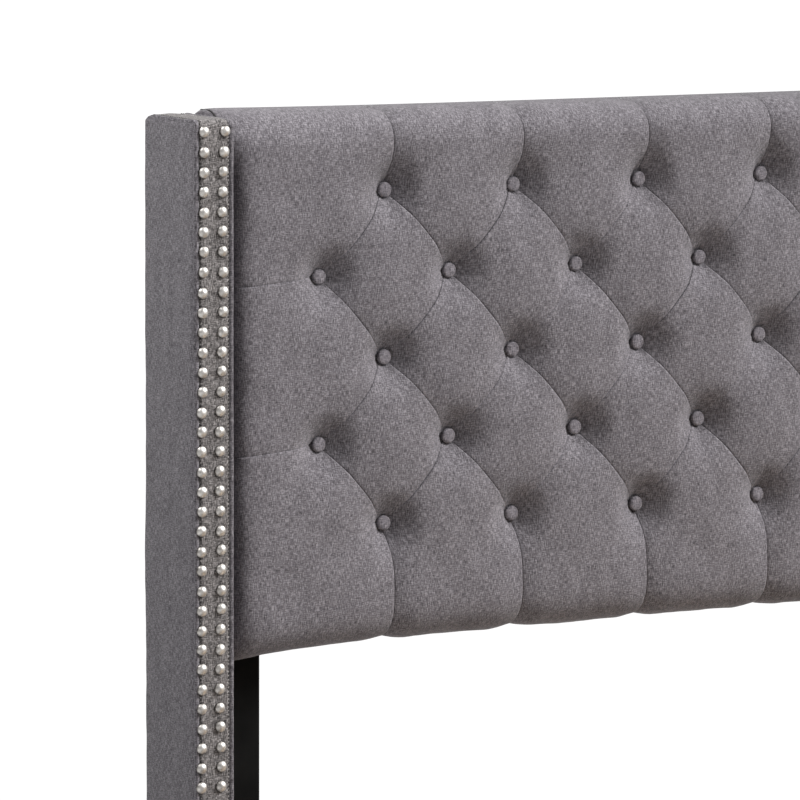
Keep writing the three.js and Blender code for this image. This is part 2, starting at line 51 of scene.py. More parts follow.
PAD_LOW, PAD_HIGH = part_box("tufted_cushion")
WING_LOW, WING_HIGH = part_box("left_wing_cover")
BAND_LOW, BAND_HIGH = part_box("left_wing_front_band")
BOARD_LOW, BOARD_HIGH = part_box("tufting_board")
ROW_BOXES = [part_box(f"button_row_{row}") for row in range(1, 6)]
BUTTON_RADIUS = (ROW_BOXES[0][1].z - ROW_BOXES[0][0].z) / 2
BUTTON_FRONT = ROW_BOXES[0][0].y
BUTTON_HEIGHT = 6 * MM
BUTTON_SCALE = 0.95          # a button's own radius, as a share of the space it fills
BUTTON_BACK = BUTTON_FRONT + BUTTON_HEIGHT
ROW_COUNTS = (8, 9, 8, 9, 8)
SIDES = (("left", -1), ("right", 1))

# ---- Materials ----------------------------------------------------------------------------------

class Nodes:
    """Short ways to add and link shader nodes."""

    def __init__(self, name):
        self.material = bpy.data.materials.new(name)
        self.material.use_nodes = True
        self.tree = self.material.node_tree
        self.shader = self.tree.nodes["Principled BSDF"]

    def add(self, kind, inputs=None, **settings):
        node = self.tree.nodes.new(kind)
        for key, value in settings.items():
            setattr(node, key, value)
        for key, value in (inputs or {}).items():
            self.feed(node.inputs[key], value)
        return node

    def feed(self, socket, value):
        if isinstance(value, bpy.types.NodeSocket):
            self.tree.links.new(value, socket)
        else:
            socket.default_value = value

    def set(self, **values):
        for key, value in values.items():
            self.feed(self.shader.inputs[key.replace("_", " ")], value)

    def math(self, operation, a, b=0.0, clamp=False):
        node = self.add("ShaderNodeMath", operation=operation, use_clamp=clamp)
        self.feed(node.inputs[0], a)
        self.feed(node.inputs[1], b)
        return node.outputs[0]

    def noise(self, vector, scale, detail=2.0, roughness=0.5):
        node = self.add("ShaderNodeTexNoise", {"Scale": scale, "Detail": detail, "Roughness": roughness})
        self.feed(node.inputs["Vector"], vector)
        return node.outputs["Fac"]

    def stretch(self, vector, scale, place=(0, 0, 0)):
        node = self.add("ShaderNodeMapping")
        node.inputs["Location"].default_value = place
        node.inputs["Scale"].default_value = scale
        self.feed(node.inputs["Vector"], vector)
        return node.outputs[0]

    def ramp(self, factor, stops):
        node = self.add("ShaderNodeValToRGB")
        ramp = node.color_ramp
        while len(ramp.elements) < len(stops):
            ramp.elements.new(0.5)
        for element, (place, colour) in zip(ramp.elements, stops):
            element.position = place
            element.color = (*colour, 1)
        self.feed(node.inputs[0], factor)
        return node.outputs[0]

    def bump(self, height, strength, distance):
        node = self.add("ShaderNodeBump", {"Strength": strength, "Distance": distance})
        self.feed(node.inputs["Height"], height)
        self.feed(self.shader.inputs["Normal"], node.outputs[0])


FABRIC_COLOURS = {
    # the buttons' cloth is the heather cloth painted paler: painted light on their faces
    "button_linen_lit": ((0.052, 0.046, 0.053), (0.130, 0.119, 0.132), (0.256, 0.239, 0.260)),
    "heather_linen": ((0.038, 0.034, 0.038), (0.106, 0.097, 0.107), (0.226, 0.212, 0.228)),
    "side_linen": ((0.026, 0.023, 0.026), (0.098, 0.090, 0.100), (0.215, 0.202, 0.216)),
    "band_linen": ((0.008, 0.007, 0.007), (0.094, 0.086, 0.085), (0.300, 0.280, 0.277)),
}


def fabric(name):
    """Plain-woven heather cloth: warp and weft threads, slubs and a melange of dark and pale yarn."""
    if name in bpy.data.materials:
        return bpy.data.materials[name]
    dark, middle, pale = FABRIC_COLOURS[name]
    n = Nodes(name)
    cloth = n.add("ShaderNodeUVMap", uv_map="cloth").outputs[0]
    weft = n.noise(n.stretch(cloth, (185, 1100, 1)), 1.0, 2.0, 0.6)
    warp = n.noise(n.stretch(cloth, (1100, 165, 1), (3, 7, 0)), 1.0, 2.0, 0.6)
    speck = n.noise(n.stretch(cloth, (1000, 900, 1), (11, 5, 0)), 1.0, 2.0, 0.7)
    broad = n.noise(n.stretch(cloth, (60, 26, 1), (1, 9, 0)), 1.0, 3.0, 0.6)
    threads = n.math("ADD", n.math("MULTIPLY", weft, 0.38), n.math("MULTIPLY", warp, 0.46))
    melange = n.math("ADD", threads, n.math("MULTIPLY", speck, 0.16))
    melange = n.math("ADD", melange, n.math("MULTIPLY", n.math("SUBTRACT", broad, 0.5), 0.1))
    colour = n.ramp(melange, ((0.39, dark), (0.5, middle), (0.61, pale)))
    n.set(Base_Color=colour, Roughness=0.92, Specular_IOR_Level=0.25, Sheen_Weight=0.12, Sheen_Roughness=0.5)
    n.bump(melange, 0.4, 0.0005)
    return n.material


PEWTER_STOPS = ((0.0, (0.11, 0.10, 0.095)), (0.3, (0.40, 0.38, 0.36)), (0.7, (0.64, 0.62, 0.595)))


def pewter():
    """Old-silver nail heads: soft tarnish, fine scuffs and painted shade that darkens each head towards its rim."""
    n = Nodes("pewter")
    place = n.add("ShaderNodeTexCoord").outputs["Object"]
    tarnish = n.noise(place, 160.0, 3.0, 0.6)
    scuffs = n.noise(n.stretch(place, (2600, 2600, 700)), 1.0, 2.0, 0.6)
    along = n.add("ShaderNodeSeparateXYZ", {"Vector": place}).outputs["Y"]
    # painted shade: the base colour darkens towards each nail's rim, where it meets the cloth
    rim = n.math("DIVIDE", n.math("SUBTRACT", along, NAIL_FACE - RIM_SHADE_REACH), RIM_SHADE_REACH, clamp=True)
    shade = n.math("SUBTRACT", tarnish, n.math("MULTIPLY", rim, 0.75), clamp=True)
    n.set(Base_Color=n.ramp(shade, PEWTER_STOPS), Metallic=1.0)
    rough = n.math("ADD", n.math("MULTIPLY", scuffs, 0.12), 0.42)
    n.set(Roughness=rough)
    n.bump(scuffs, 0.12, 0.0001)
    return n.material


def zinc():
    """Bright zinc-plated steel."""
    n = Nodes("zinc")
    place = n.add("ShaderNodeTexCoord").outputs["Object"]
    spangle = n.noise(place, 420.0, 2.0, 0.5)
    n.set(Base_Color=n.ramp(spangle, ((0.35, (0.42, 0.43, 0.44)), (0.7, (0.6, 0.6, 0.6)))), Metallic=1.0)
    n.set(Roughness=n.math("ADD", n.math("MULTIPLY", spangle, 0.2), 0.28))
    n.bump(spangle, 0.1, 0.0001)
    return n.material


def wood(name, dark, pale, along):
    """Planed softwood or plywood; along is the axis number that the grain follows."""
    n = Nodes(name)
    place = n.add("ShaderNodeTexCoord").outputs["Object"]
    ring = [46.0, 46.0, 46.0]
    ring[along] = 1.6
    fibre = [620.0, 620.0, 620.0]
    fibre[along] = 14.0
    rings = n.noise(n.stretch(place, ring), 1.0, 3.0, 0.55)
    fibres = n.noise(n.stretch(place, fibre), 1.0, 2.0, 0.6)
    grain = n.math("ADD", n.math("MULTIPLY", rings, 0.7), n.math("MULTIPLY", fibres, 0.3))
    n.set(Base_Color=n.ramp(grain, ((0.36, dark), (0.52, pale), (0.66, dark))), Roughness=0.68)
    n.bump(fibres, 0.25, 0.0003)
    return n.material


def black_paint():
    """Satin black paint over wood, a little thin on the grain."""
    n = Nodes("black_paint")
    place = n.add("ShaderNodeTexCoord").outputs["Object"]
    grain = n.noise(n.stretch(place, (520, 520, 18)), 1.0, 2.0, 0.6)
    cloud = n.noise(place, 22.0, 3.0, 0.5)
    n.set(Base_Color=n.ramp(cloud, ((0.3, (0.003, 0.003, 0.003)), (0.7, (0.006, 0.006, 0.0058)))))
    n.set(Roughness=n.math("ADD", n.math("MULTIPLY", grain, 0.25), 0.6), Specular_IOR_Level=0.05)
    n.bump(grain, 0.2, 0.0002)
    return n.material


def black_plastic():
    n = Nodes("black_plastic")
    place = n.add("ShaderNodeTexCoord").outputs["Object"]
    pebble = n.noise(place, 900.0, 2.0, 0.5)
    n.set(Base_Color=n.ramp(pebble, ((0.3, (0.008, 0.008, 0.008)), (0.7, (0.016, 0.016, 0.016)))))
    n.set(Roughness=n.math("ADD", n.math("MULTIPLY", pebble, 0.2), 0.45))
    n.bump(pebble, 0.2, 0.0002)
    return n.material


def backing():
    """Black non-woven dust cloth: pressed fibres in every direction."""
    n = Nodes("backing")
    place = n.add("ShaderNodeTexCoord").outputs["Object"]
    fibres = n.noise(n.stretch(place, (1, 1, 1)), 700.0, 3.0, 0.7)
    dimples = n.add("ShaderNodeTexVoronoi", {"Scale": 520.0})
    n.feed(dimples.inputs["Vector"], place)
    n.set(Base_Color=n.ramp(fibres, ((0.3, (0.009, 0.009, 0.010)), (0.7, (0.024, 0.024, 0.026)))), Roughness=0.95)
    n.bump(dimples.outputs["Distance"], 0.4, 0.0004)
    return n.material


def thread():
    if "thread" in bpy.data.materials:
        return bpy.data.materials["thread"]
    n = Nodes("thread")
    place = n.add("ShaderNodeTexCoord").outputs["Object"]
    twist = n.noise(place, 1800.0, 2.0, 0.5)
    n.set(Base_Color=n.ramp(twist, ((0.3, (0.008, 0.007, 0.007)), (0.7, (0.022, 0.02, 0.02)))), Roughness=0.8)
    return n.material


# ---- Mesh helpers -------------------------------------------------------------------------------

QUARTER = math.pi / 2


def smooth(x):
    x = np.clip(x, 0, 1)
    return x * x * (3 - 2 * x)


def waves(points, scale, count, seed):
    """Smooth random unevenness between about -1 and 1, for points in two or three dimensions."""
    source = np.random.default_rng(seed)
    total = np.zeros(len(points))
    for _ in range(count):
        direction = source.normal(size=points.shape[1])
        direction *= 2 * math.pi / (scale * source.uniform(0.6, 1.6) * np.linalg.norm(direction))
        total += np.sin(points @ direction + source.uniform(0, 2 * math.pi))
    return total / math.sqrt(count)


def groove(distance, depth, width):
    return -depth * np.exp(-((distance / width) ** 2))


def new_object(name, points, faces, uv=None, smooth_shaded=True):
    """uv holds the flat cloth's metres, either one pair for each point or one for each face corner."""
    mesh = bpy.data.meshes.new(name)
    mesh.from_pydata(np.asarray(points, float).tolist(), [], [list(map(int, face)) for face in faces])
    if uv is not None:
        layer = mesh.uv_layers.new(name="cloth")
        uv = np.asarray(uv, np.float32)
        if len(uv) == len(points):
            loops = np.zeros(len(mesh.loops), np.int32)
            mesh.loops.foreach_get("vertex_index", loops)
            uv = uv[loops]
        layer.data.foreach_set("uv", uv.ravel())
    mesh.polygons.foreach_set("use_smooth", [smooth_shaded] * len(mesh.polygons))
    mesh.update()
    made = bpy.data.objects.new(name, mesh)
    bpy.context.scene.collection.objects.link(made)
    return made


def dress(made, nodes, material):
    """Gives a piece its material and slot, and lets it stand for its CAD nodes."""
    made.data.materials.append(material)
    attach(made, "root")
    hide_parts(*nodes)
    return made


def edge_places(low, high, radius, step):
    """Grid lines across one side of a rounded block, close together on its rounds."""
    turn = radius * (1 - np.tan(np.linspace(QUARTER / 2, 0, 5)))
    count = max(2, int((high - low - 2 * radius) / step) + 1)
    middle = np.linspace(low + radius, high - radius, count)
    return np.concatenate([low + turn[:-1], middle, high - turn[-2::-1]])


def rounded_block(low, high, radii, steps):
    """Points, outward normals, quads and a flat place for each quad's corners."""
    low, high, radii = (np.array(v, float) for v in (low, high, radii))
    lines = [edge_places(*row) for row in zip(low, high, radii, steps)]
    loose, quads, count = [], [], 0
    flat = []
    for axis in range(3):
        a, b = (k for k in range(3) if k != axis)
        grid_a, grid_b = np.meshgrid(lines[a], lines[b], indexing="ij")
        for sign in (-1, 1):
            place = np.zeros((*grid_a.shape, 3))
            place[..., a] = grid_a
            place[..., b] = grid_b
            place[..., axis] = high[axis] if sign > 0 else low[axis]
            index = count + np.arange(grid_a.size).reshape(grid_a.shape)
            quad = np.stack([index[:-1, :-1], index[1:, :-1], index[1:, 1:], index[:-1, 1:]], -1)
            quad = quad.reshape(-1, 4)
            quads.append(quad[:, ::-1] if (sign < 0) != (axis == 1) else quad)
            loose.append(place.reshape(-1, 3))
            flat.append(np.stack([grid_a.ravel(), grid_b.ravel()], -1))
            count += grid_a.size
    loose, quads, flat = (np.concatenate(parts) for parts in (loose, quads, flat))
    _, first, shared = np.unique(np.round(loose / (0.001 * MM)), axis=0, return_index=True, return_inverse=True)
    block = loose[first]
    inner = np.clip(block, low + radii, high - radii)
    outward = (block - inner) / radii
    outward /= np.linalg.norm(outward, axis=1)[:, None]
    points = inner + outward * radii
    normals = outward / radii
    normals /= np.linalg.norm(normals, axis=1)[:, None]
    return points, normals, shared.reshape(-1)[quads], flat[quads].reshape(-1, 2)


def swell(points, normals, low, high, height):
    """How far stuffing pushes each face of a block out, from nothing at its edges to height in the middle."""
    middle = (np.array(low) + np.array(high)) / 2
    half = (np.array(high) - np.array(low)) / 2
    room = 1 - np.clip(np.abs(points - middle) / half, 0, 1) ** 4
    total = np.zeros(len(points))
    for axis in range(3):
        a, b = (k for k in range(3) if k != axis)
        total += normals[:, axis] ** 2 * height * room[:, a] * room[:, b]
    return total


# ---- Tufted panel: sizes ------------------------------------------------------------------------

CREST = PAD_LOW.y                      # the pillows' foremost plane
HALF = PAD_HIGH.x - 0.5 * MM             # the padded end stands clear of the wing
CROWN = 40 * MM                        # radius of the pad's top and bottom edges
END_ROUND = 40 * MM                    # radius of its upright edges
PAD_DEPTH = PAD_HIGH.y - CREST
CROWN_TOP = PAD_HIGH.z - CROWN         # where the top round starts
CROWN_BOTTOM = PAD_LOW.z + CROWN
END_START = HALF - END_ROUND
TUFT_DEPTH = BUTTON_BACK - CREST       # from the crest plane to the cloth under a button
TUFT_PARTS = (                          # share of the depth, reach and power of each part of a dimple
    (0.56, 33 * MM, 1.2),
    (0.44, 78 * MM, 1.8),
)
VALLEY_REACH = 34 * MM                 # half width of the soft valley along a crease
END_SEAM = 0.60                        # where the end seam lies, as a share of the upright edge's turn
REAR_DROP = 6.7 * MM                   # at the pad's ends its top sinks this much towards the back
END_FADE = 6 * MM                      # how soon that sinking fades away from the ends
REAR_REACH = 46 * MM
END_TUCK = 14 * MM                     # the cover is drawn this far in at its end seam
TUCK_WIDTH = 8 * MM


def ends_of(box_low, box_high, radius, count):
    first = box_low.x + radius
    last = box_high.x - radius
    return np.linspace(first, last, count)


def button_grid():
    """Button places as rows of (x, z), top row first."""
    rows = []
    for (low, high), count in zip(ROW_BOXES, ROW_COUNTS):
        z = (low.z + high.z) / 2
        rows.append([np.array((x, z)) for x in ends_of(low, high, BUTTON_RADIUS, count)])
    return rows


BUTTONS = button_grid()

# The cloth is laid out flat in two coordinates, u across and v up. On the flat front they are x and z,
# and past the rounded edges they go on along the cloth.
V_TOP = CROWN_TOP + CROWN * QUARTER + PAD_DEPTH - CROWN
V_BOTTOM = CROWN_BOTTOM - CROWN * QUARTER - (PAD_DEPTH - CROWN)
U_END = END_START + END_ROUND * QUARTER + PAD_DEPTH - END_ROUND
SEAM_U = END_START + END_ROUND * QUARTER * END_SEAM


class Crease:
    """A fold between two pillows: a curve in the flat cloth, with the side that laps over it."""

    def __init__(self, start, end, bow, lap=1, strength=1.0, fade=(0.0, 0.0), valley=5.0, skew=0.0):
        self.start = np.array(start, float)
        self.end = np.array(end, float)
        along = self.end - self.start
        self.length = float(np.hypot(*along))
        self.normal = np.array((-along[1], along[0])) / self.length
        self.bow = bow * MM
        self.lap = lap
        self.strength = strength
        self.fade = fade
        self.valley = valley * MM
        self.skew = skew

    def at(self, share):
        share = np.asarray(share, float)[:, None]
        straight = self.start * (1 - share) + self.end * share
        shaped = share ** (1 + self.skew)
        return straight + self.normal * self.bow * np.sin(np.pi * shaped)


def spaced(length, near_start=True, near_end=True, largest=9.0):
    """Shares from 0 to 1 along a curve, closely spaced at the ends that meet a fold."""
    steps = [0.0]
    step = 0.55 * MM
    half = length / 2 if near_end and near_start else length
    while steps[-1] < half:
        steps.append(steps[-1] + step)
        step = min(step * 1.32, largest * MM)
    steps = np.array(steps) * half / steps[-1]
    if near_start and near_end:
        return np.concatenate([steps, length - steps[-2::-1]]) / length
    if near_end:
        return (length - steps[::-1]) / length
    return steps / length


# ---- Tufted panel: the net of creases and pillows -----------------------------------------------

def chain(curves, shares):
    """Points along several curves joined end to end; a curve may be run backwards."""
    points = []
    for curve, backwards, share in zip(*zip(*curves), shares):
        run = curve.at(1 - share if backwards else share)
        points.append(run if not points else run[1:])
    return np.concatenate(points)


def patch(bottom, top, left, right, s, t):
    """A Coons patch from four point runs; s and t are the shares along bottom and left."""
    s = s[:, None, None]
    t = t[None, :, None]
    sides = (1 - t) * bottom[:, None] + t * top[:, None] + (1 - s) * left[None] + s * right[None]
    corners = (
        (1 - s) * (1 - t) * bottom[0] + s * (1 - t) * bottom[-1] + (1 - s) * t * top[0] + s * t * top[-1]
    )
    return sides - corners


class Straight(Crease):
    """An edge of the cloth, with no fold."""

    def __init__(self, start, end):
        super().__init__(start, end, 0.0)


def build_net():
    """The creases, and one patch of flat-cloth points for each pillow."""
    creases = {}
    diagonal = float(np.hypot(*(BUTTONS[0][0] - BUTTONS[1][0])))
    for row in range(4):
        upper, lower = BUTTONS[row], BUTTONS[row + 1]
        for i, a in enumerate(upper):
            for j, b in enumerate(lower):
                if abs(np.hypot(*(a - b)) - diagonal) > 2 * MM:
                    continue
                falls_right = b[0] > a[0]
                if falls_right:
                    crease = Crease(
                        a, b, RANDOM.uniform(-1.5, 2.0), lap=-1, strength=RANDOM.uniform(0.3, 0.62),
                        fade=(0.05, RANDOM.uniform(0.32, 0.55)), valley=RANDOM.uniform(2.4, 3.6),
                    )
                else:
                    crease = Crease(
                        a, b, RANDOM.uniform(-2.0, 2.0), lap=1, strength=RANDOM.uniform(0.15, 0.7),
                        fade=(0.0, RANDOM.uniform(0.45, 0.7)), valley=RANDOM.uniform(1.6, 2.4),
                    )
                creases[(row, i, j)] = crease
    n = spaced(diagonal)
    down = {}
    for name, row, v_end, bow in (("top", 0, V_TOP, -3.0), ("bottom", 4, V_BOTTOM, 4.0)):
        for i, a in enumerate(BUTTONS[row]):
            end = (a[0] - 2 * MM, v_end)
            down[(name, i)] = Crease(
                a, end, bow * RANDOM.uniform(0.8, 1.25), lap=1 if name == "top" else -1,
                strength=1.0, fade=(0.05, 0.0), valley=4.8, skew=-0.25,
            )
    m = spaced(down[("top", 0)].length, near_end=False)
    out = {}
    for row in (1, 3):
        for side, sign in SIDES:
            a = BUTTONS[row][0 if sign < 0 else -1]
            end = (sign * U_END, a[1] - 13 * MM)
            out[(side, row)] = Crease(
                a, end, 2.0 * sign, lap=-sign, strength=0.3, fade=(0.4, 0.0), valley=2.0, skew=0.0,
            )
    h = spaced(out[("left", 1)].length, near_end=False)

    patches = []

    def link(row, upper_index, lower_index):
        return creases[(row, upper_index, lower_index)]

    # Full diamonds: left, right, top and bottom buttons all there.
    for row in (1, 2, 3):
        across = BUTTONS[row]
        for i in range(len(across) - 1):
            above = i if row % 2 == 1 else i + 1
            left_up = link(row - 1, above, i)
            right_up = link(row - 1, above, i + 1)
            left_down = link(row, i, above)
            right_down = link(row, i + 1, above)
            patches.append(patch(
                left_down.at(n), right_up.at(n), left_up.at(1 - n), right_down.at(1 - n), n, n,
            ))
    # Top and bottom pillows, between two upright pleats.
    double = np.concatenate([n / 2, 0.5 + n[1:] / 2])
    for i in range(7):
        lower = chain([(link(0, i, i + 1), False), (link(0, i + 1, i + 1), True)], [n, n])
        left, right = down[("top", i)], down[("top", i + 1)]
        edge = Straight(left.end, right.end).at(double)
        patches.append(patch(lower, edge, left.at(m), right.at(m), double, m))
        upper = chain([(link(3, i + 1, i), True), (link(3, i + 1, i + 1), False)], [n, n])
        left, right = down[("bottom", i)], down[("bottom", i + 1)]
        edge = Straight(left.end, right.end).at(double)
        patches.append(patch(edge, upper, left.at(m[::-1]), right.at(m[::-1]), double, 1 - m[::-1]))
    # End pillows and corners.
    tall = np.concatenate([n, 1 + m[1:]]) / 2
    for side, sign in SIDES:
        b = 0 if sign < 0 else 8
        a = 0 if sign < 0 else 7
        upper, lower = out[(side, 1)], out[(side, 3)]
        near = chain([(link(2, a, b), True), (link(1, b, a), True)], [n, n])
        far = Straight(lower.end, upper.end).at(double)
        if sign < 0:
            patches.append(patch(lower.at(h[::-1]), upper.at(h[::-1]), far, near, 1 - h[::-1], double))
        else:
            patches.append(patch(lower.at(h), upper.at(h), near, far, h, double))
        pleat = down[("top", a)]
        near = chain([(link(0, a, b), True), (pleat, False)], [n, m])
        far = Straight(upper.end, (sign * U_END, V_TOP)).at(tall)
        edge = Straight((sign * U_END, V_TOP), pleat.end)
        if sign < 0:
            patches.append(patch(upper.at(h[::-1]), edge.at(1 - h[::-1]), far, near, 1 - h[::-1], tall))
        else:
            patches.append(patch(upper.at(h), edge.at(1 - h), near, far, h, tall))
        pleat = down[("bottom", a)]
        near = chain([(pleat, True), (link(3, b, a), True)], [1 - m[::-1], n])
        short = 1 - tall[::-1]
        far = Straight((sign * U_END, V_BOTTOM), lower.end).at(short)
        edge = Straight((sign * U_END, V_BOTTOM), pleat.end)
        if sign < 0:
            patches.append(patch(edge.at(1 - h[::-1]), lower.at(h[::-1]), far, near, 1 - h[::-1], short))
        else:
            patches.append(patch(edge.at(1 - h), lower.at(h), near, far, h, short))
    folds = list(creases.values()) + list(down.values()) + list(out.values())
    return patches, folds


def flat_cloth(patches):
    """Joins the patches into one flat mesh: points (u, v) and quads."""
    work = bmesh.new()
    for grid in patches:
        rows, columns = grid.shape[:2]
        made = [[work.verts.new((p[0], p[1], 0)) for p in line] for line in grid]
        for i in range(rows - 1):
            for j in range(columns - 1):
                work.faces.new((made[i][j], made[i + 1][j], made[i + 1][j + 1], made[i][j + 1]))
    bmesh.ops.remove_doubles(work, verts=work.verts, dist=0.02 * MM)
    for sign in (-1, 1):
        for offset in (-2.6, -1.3, -0.6, 0, 0.6, 1.3, 2.6):
            cut = (sign * (SEAM_U + offset * MM), 0, 0)
            everything = [*work.verts, *work.edges, *work.faces]
            bmesh.ops.bisect_plane(work, geom=everything, plane_co=cut, plane_no=(1, 0, 0))
    work.verts.index_update()
    points = np.array([v.co[:2] for v in work.verts], float)
    faces = [[v.index for v in f.verts] for f in work.faces]
    work.free()
    return points, faces


def nearest_on(crease, points, samples=40):
    """Distance, share along and signed side of the crease for each point."""
    line = crease.at(np.linspace(0, 1, samples))
    best = np.full(len(points), 1e9)
    share = np.zeros(len(points))
    side = np.zeros(len(points))
    for k in range(samples - 1):
        a, b = line[k], line[k + 1]
        d = b - a
        length = float(d @ d)
        t = np.clip(((points - a) @ d) / length, 0, 1)
        gap = points - (a + t[:, None] * d)
        distance = np.hypot(gap[:, 0], gap[:, 1])
        closer = distance < best
        best = np.where(closer, distance, best)
        share = np.where(closer, (k + t) / (samples - 1), share)
        cross = d[0] * gap[:, 1] - d[1] * gap[:, 0]
        side = np.where(closer, np.sign(cross), side)
    return best, share, side


LIP = 1.3 * MM          # how proud the lapping side stands beside a crease
LIP_WIDTH = 8 * MM
GROOVE = 3.4 * MM       # depth of the fold itself
GROOVE_WIDTH = 0.75 * MM
OVERHANG = 1.1 * MM     # how far the lapping side slides over the fold
RING_RADIUS = BUTTON_RADIUS * 1.04
RING_DEPTH = 2.5 * MM   # the cloth is drawn in round each button's rim


def relief(points, folds):
    """Depth of the cloth behind its untufted surface, and its sideways slide, at flat-cloth points."""
    depth = np.zeros(len(points))
    slide = np.zeros((len(points), 2))
    for row in BUTTONS:
        for button in row:
            reach = np.hypot(*(points - button).T)
            full = TUFT_DEPTH * RANDOM.uniform(0.97, 1.06)
            for share, spread, power in TUFT_PARTS:
                pulled = np.clip(1 - np.clip(reach - 6 * MM, 0, None) / spread, 0, 1)
                depth += full * share * pulled ** power
            depth += RING_DEPTH * np.exp(-(((reach - RING_RADIUS) / (1.25 * MM)) ** 2))
    for fold in folds:
        margin = VALLEY_REACH + abs(fold.bow)
        low = np.minimum(fold.start, fold.end) - margin
        high = np.maximum(fold.start, fold.end) + margin
        near = np.nonzero(np.all((points > low) & (points < high), axis=1))[0]
        if not len(near):
            continue
        distance, share, side = nearest_on(fold, points[near])
        ends_here = fold.fade[1] > 0
        taper = smooth(share * fold.length / (14 * MM))
        if ends_here:
            taper = taper * smooth((1 - share) * fold.length / (14 * MM))
        soft = np.clip(1 - distance / VALLEY_REACH, 0, 1) ** 2
        bell = 0.45 + 0.55 * np.sin(np.pi * np.clip(share, 0, 1)) if ends_here else 1.0
        depth[near] += fold.valley * soft * taper * bell
        shown = smooth(share / 0.12) * smooth((1 - share) / max(fold.fade[1], 1e-3))
        if not ends_here:
            shown = smooth(share / 0.12)
        shown = shown * fold.strength
        signed = distance * side * fold.lap
        lip = LIP * np.tanh(signed / (1.0 * MM)) * np.exp(-distance / LIP_WIDTH)
        crevice = GROOVE * np.exp(-((distance / GROOVE_WIDTH) ** 1.5))
        depth[near] += shown * (crevice - lip)
        toward = -fold.normal[None] * fold.lap
        over = np.where(
            signed > 0.2 * MM,
            OVERHANG * np.exp(-np.clip(signed - 0.5 * MM, 0, None) / (4 * MM)),
            -0.8 * OVERHANG * np.exp(-((distance / (0.8 * MM)) ** 2)),
        )
        slide[near] += toward * (over * shown)[:, None]
    below_top = smooth((CROWN_TOP - points[:, 1]) / (30 * MM))
    depth -= groove(np.abs(points[:, 0]) - SEAM_U, END_TUCK, TUCK_WIDTH) * below_top
    depth -= groove(np.abs(points[:, 0]) - SEAM_U, 1.6 * MM, 1.1 * MM)
    depth += 0.5 * MM * waves(points, 90 * MM, 14, 5) + 0.18 * MM * waves(points, 28 * MM, 18, 6)
    return depth, slide


def wrap(past, radius):
    """Past where a rounded edge starts: outward reach, depth behind the front and the angle turned."""
    angle = np.clip(past / radius, 0, QUARTER)
    reach = np.where(past < 0, past, radius * np.sin(angle))
    back = radius * (1 - np.cos(angle)) + np.clip(past - radius * QUARTER, 0, None)
    return reach, back, angle


def droop(x):
    """The pad's lower corners sag below its straight edge, and its middle sags a little too."""
    from_end = HALF - np.abs(x)
    return 17 * MM * np.exp(-from_end / (80 * MM)) + 2.4 * MM * (1 - np.exp(-from_end / (150 * MM)))


def top_line(x):
    """The pad's top is fuller at its corners, and has settled a little towards its middle."""
    return 3.9 * MM * np.exp(-(HALF - np.abs(x)) / (170 * MM)) - 1.4 * MM


def place_cloth(points, depth, slide):
    """Lifts flat-cloth points onto the padded panel."""
    moved = points + slide
    u, v = moved[:, 0], moved[:, 1]
    side = np.sign(u)
    reach_u, back_u, angle_u = wrap(np.abs(u) - END_START, END_ROUND)
    x = side * (END_START + reach_u)
    reach_t, back_t, angle_t = wrap(v - CROWN_TOP, CROWN)
    reach_b, back_b, angle_b = wrap(CROWN_BOTTOM - v, CROWN)
    z = np.where(v > 0.5 * (CROWN_TOP + CROWN_BOTTOM), CROWN_TOP + reach_t, CROWN_BOTTOM - reach_b)
    angle_v = angle_t - angle_b
    y = CREST + np.minimum(back_u + back_t + back_b, PAD_DEPTH)
    normal = np.stack([
        side * np.sin(angle_u) * np.cos(angle_v),
        -np.cos(angle_u) * np.cos(angle_v),
        np.sin(angle_v),
    ], axis=1)
    low = smooth((CROWN_BOTTOM + 60 * MM - z) / (100 * MM))
    z = z - droop(x) * low + top_line(x) * smooth((z - CROWN_TOP) / CROWN)
    rear = np.clip((y - PAD_HIGH.y + REAR_REACH) / REAR_REACH, 0, 1)
    near_end = np.exp(-np.clip(HALF - np.abs(x), 0, None) / END_FADE)
    z = z - REAR_DROP * near_end * rear ** 2 * smooth((z - CROWN_TOP) / CROWN)
    settle = smooth((CREST + PAD_DEPTH - y) / (12 * MM))
    return np.stack([x, y, z], axis=1) - normal * (depth * settle)[:, None]


def tufted_cover():
    patches, folds = build_net()
    points, faces = flat_cloth(patches)
    depth, slide = relief(points, folds)
    place = place_cloth(points, depth, slide)
    cover = new_object("tufted_cover", place, faces, uv=points)
    work = bmesh.new()
    work.from_mesh(cover.data)
    bmesh.ops.remove_doubles(work, verts=work.verts, dist=0.01 * MM)
    bmesh.ops.dissolve_degenerate(work, edges=work.edges, dist=0.01 * MM)
    rim = [e for e in work.edges if e.is_boundary]
    inset = 6.2 * MM
    for step in range(2):
        grown = bmesh.ops.extrude_edge_only(work, edges=rim)["geom"]
        fresh = [g for g in grown if isinstance(g, bmesh.types.BMVert)]
        for vert in fresh:
            if step == 0:
                vert.co.x = math.copysign(min(abs(vert.co.x), HALF - inset), vert.co.x)
                vert.co.z = min(max(vert.co.z, PAD_LOW.z + inset), PAD_HIGH.z - inset)
            else:
                vert.co.y = BOARD_LOW.y - 0.3 * MM
        rim = [g for g in grown if isinstance(g, bmesh.types.BMEdge)]
    bmesh.ops.remove_doubles(work, verts=list({v for e in rim for v in e.verts}), dist=0.01 * MM)
    rim = [e for e in work.edges if e.is_boundary]
    bmesh.ops.contextual_create(work, geom=rim)
    bmesh.ops.recalc_face_normals(work, faces=work.faces)
    work.to_mesh(cover.data)
    work.free()
    cover.data.materials.append(fabric("heather_linen"))
    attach(cover, "root")
    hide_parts("tufted_cushion")
    return cover


SEAM_SHADOW_CORD = 0.9 * MM        # radius of the near-black cord in the seam around each end of the pad, a painted seam shadow
SEAM_CORD_SIDES = 8


